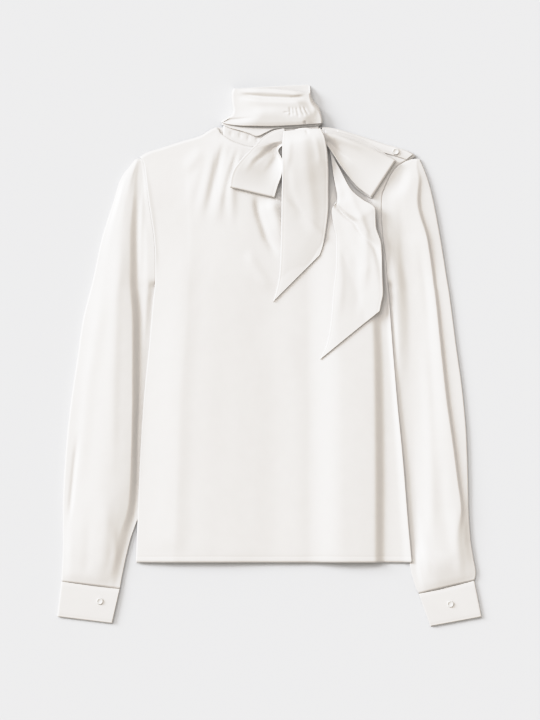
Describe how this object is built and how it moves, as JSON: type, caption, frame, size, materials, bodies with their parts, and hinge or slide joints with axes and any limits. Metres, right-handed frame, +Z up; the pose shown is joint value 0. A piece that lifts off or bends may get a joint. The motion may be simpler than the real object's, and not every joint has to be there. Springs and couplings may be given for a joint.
{
  "type": "blouse",
  "caption": "Long-sleeved satin blouse with a wrapped high neckband tied in a side bow, gathered front, shoulder button and buttoned cuffs, laid flat.",
  "frame": {"origin": "centre of the blouse's outline on the surface it lies on", "axes": "+X to the viewer's right, +Y from the hem to the neck, +Z up off the surface towards the viewer"},
  "size_m": [0.6152, 0.785, 0.0248],
  "materials": {
    "satin": "soft satin, warm ivory",
    "buttons": "pale glossy button"
  },
  "bodies": {
    "root": {"front": "satin", "back": "satin", "sleeve_left": "satin", "sleeve_right": "satin", "cuff_left": "satin", "cuff_right": "satin", "cuff_button_left": "buttons", "cuff_button_right": "buttons", "shoulder_placket": "satin", "shoulder_button": "buttons", "collar_stand": "satin", "neck_wrap_lower": "satin", "neck_wrap_upper": "satin", "tail_rear": "satin", "bow_knot": "satin", "loop_left": "satin", "loop_right": "satin", "tail_front": "satin"}
  },
  "joints": []
}
